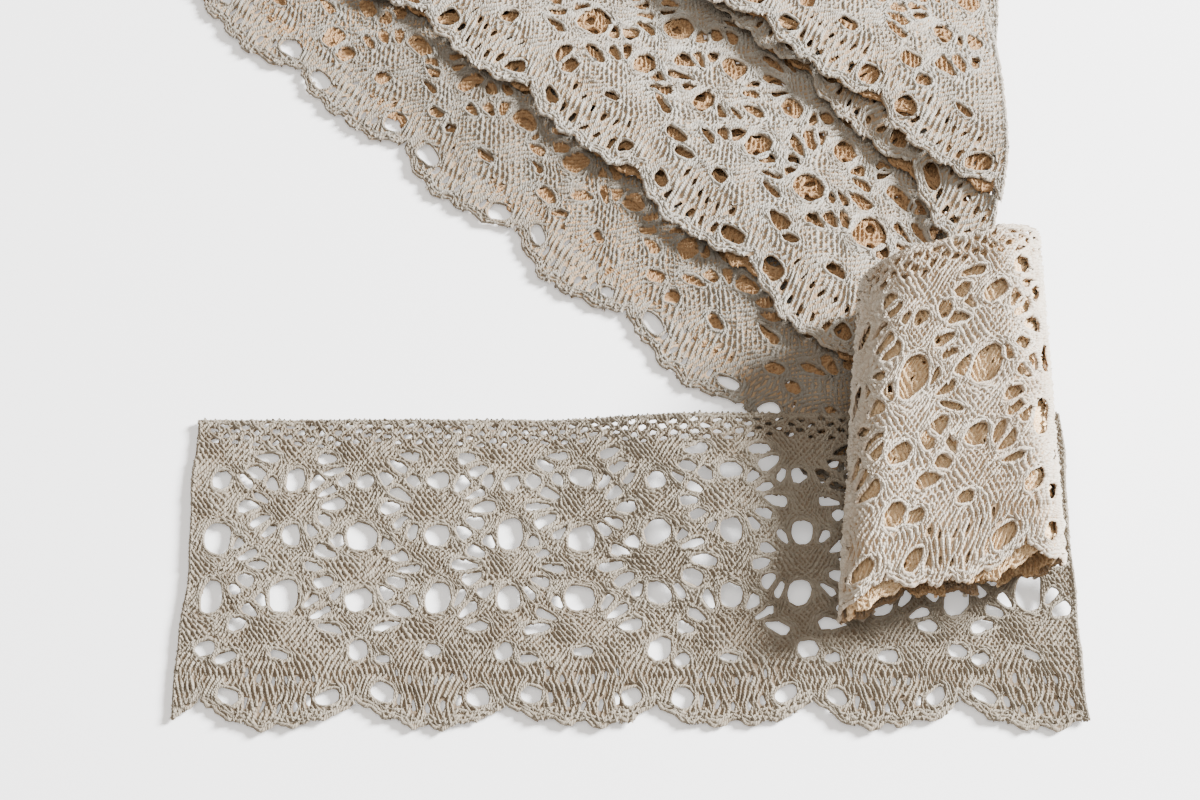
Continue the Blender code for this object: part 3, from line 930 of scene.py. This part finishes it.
loose_first = (LOOSE_LEFT - LOOSE_NOTCH) / LOOSE_STRETCH
loose_last = (LOOSE_RIGHT - LOOSE_NOTCH) / LOOSE_STRETCH
total = build_strip("loose_lace", loose_place, loose_first, straight_end(loose_last), 1, LOOSE,
                    1.0, LOOSE_SHADED_CLOTH, SHADED_LOOSE_YARN)

# %% [markdown]
# ## Turns and the layers below them
# In a real hank more turns lie under the ones that show, and they fill the gaps below. Here they are
# painted browner and darker, as painted shade deep in the gaps.
# Whole turns would be too heavy. The first layer below has yarns only where they can show, near the
# scallops, and the second is plain cloth with few openings.

# %% The fanned turns' lace
FAN_LAYERS = (
    # openness, cloth, yarns and the line across that they start at, from the top layer down
    (1.08, SHADED_CLOTH, YARN, 0.0),
    (0.8, SHADED_BELOW, SHADED_BELOW_YARN, 32.0),
    (0.3, SHADED_BELOW, None, 0.0),
)
# The lowest turn takes the yarn that is painted darker as painted shade.
LOWEST_TURN = (1.0, SHADED_CLOTH, SHADED_LOWEST_YARN, 0.0)
FIRST_SEED, SEEDS_PER_LAYER = 2, 10
for turn in range(len(FAN_TURNS)):
    for layer in range(len(FAN_LAYERS)):
        name = "turn_%d" % (turn + 1) + ("_below_%d" % layer if layer else "")
        seed = FIRST_SEED + turn + SEEDS_PER_LAYER * layer
        look = FAN_LAYERS[layer] if turn or layer else LOWEST_TURN

        def place(s, t, turn=turn, layer=layer):
            return fan_place(turn, layer, s, t)

        total += build_strip(name, place, fan_start(turn, layer), fan_end(turn, layer), seed, ROLL, *look)

# %% The folded turn's lace
fold_end = straight_end(FOLD_FIRST + FOLD_LENGTH)
total += build_strip("folded_turn", fold_place, FOLD_FIRST, fold_end, 7, ROLL, 1.0, SHADED_CLOTH, LIT_FOLD_YARN)
total += build_strip("folded_turn_inside", inside_place, FOLD_FIRST, fold_end, 27, ROLL,
                     0.35, LIT_INSIDE, LIT_INSIDE_YARN)
print("all strips:", total, "triangles")

# %% [markdown]
# ## Floor and light
# The floor is plain and pale, and glows a little, so that it stays pale through the gaps. A key light
# low on the right throws the soft shadow on the left of the fold, and a dim broad one stands above.
# The warm world fills the shadows, as light does that cotton has thrown back.

# %% Floor
FLOOR_HALF = 9.0
FLOOR_COLOUR, FLOOR_ROUGH, FLOOR_GLOW = (0.95, 0.97, 1.0, 1), 0.95, 0.4
floor_mesh = bpy.data.meshes.new("floor")
corners = [(x * FLOOR_HALF, y * FLOOR_HALF, 0) for x, y in ((-1, -1), (1, -1), (1, 1), (-1, 1))]
floor_mesh.from_pydata(corners, [], [(0, 1, 2, 3)])
floor = bpy.data.objects.new("floor", floor_mesh)
bpy.context.scene.collection.objects.link(floor)
floor_paint = bpy.data.materials.new("pale_floor")
floor_paint.use_nodes = True
floor_shader = floor_paint.node_tree.nodes["Principled BSDF"]
floor_shader.inputs["Base Color"].default_value = FLOOR_COLOUR
floor_shader.inputs["Roughness"].default_value = FLOOR_ROUGH
floor_shader.inputs["Emission Color"].default_value = (1, 1, 1, 1)
floor_shader.inputs["Emission Strength"].default_value = FLOOR_GLOW
floor.data.materials.append(floor_paint)

# %% Lights
LIGHTS = (
    # name, place in m, size in m, power in W, colour
    ("key", (1.8, 0.67, 1.2), 0.72, 345, (1.0, 0.99, 0.98)),
    ("sky", (-0.3, -0.3, 2.4), 2.4, 30, (1.0, 0.97, 0.93)),
)
WORLD_COLOUR, WORLD_STRENGTH = (1.0, 0.84, 0.68, 1), 0.42


def area_light(name, place, size, power, colour):
    """A round area light that points at the origin."""
    light = bpy.data.lights.new(name, "AREA")
    light.shape, light.size, light.energy, light.color = "DISK", size, power, colour
    obj = bpy.data.objects.new(name, light)
    obj.location = place
    obj.rotation_euler = (-Vector(place)).to_track_quat("-Z", "Y").to_euler()
    bpy.context.scene.collection.objects.link(obj)


for row in LIGHTS:
    area_light(*row)
world = bpy.data.worlds.new("studio")
world.use_nodes = True
world.node_tree.nodes["Background"].inputs["Color"].default_value = WORLD_COLOUR
world.node_tree.nodes["Background"].inputs["Strength"].default_value = WORLD_STRENGTH
bpy.context.scene.world = world
print("lights:", [row[0] for row in LIGHTS])

# %% [markdown]
# ## Camera
# The camera looks down at the photograph's angle. Its lens is given by a focal length in pixels of
# the 1200 by 800 frame, and it aims at the point that the layout's sizes count from.

# %% Camera
CAMERA_ELEVATION, CAMERA_DISTANCE = math.radians(65), 0.52
HALF_FRAME_PIXELS, FOCAL_PIXELS = 600, 1892.8
camera = bpy.data.objects.new("camera", bpy.data.cameras.new("camera"))
camera.data.sensor_fit = "HORIZONTAL"
camera.data.angle = 2 * math.atan(HALF_FRAME_PIXELS / FOCAL_PIXELS)
away = Vector((0, -math.cos(CAMERA_ELEVATION), math.sin(CAMERA_ELEVATION)))
camera.location = Vector(ORIGIN) + CAMERA_DISTANCE * away
camera.rotation_euler = (-away).to_track_quat("-Z", "Y").to_euler()
bpy.context.scene.collection.objects.link(camera)
bpy.context.scene.camera = camera
print("camera at", [round(value, 3) for value in camera.location])
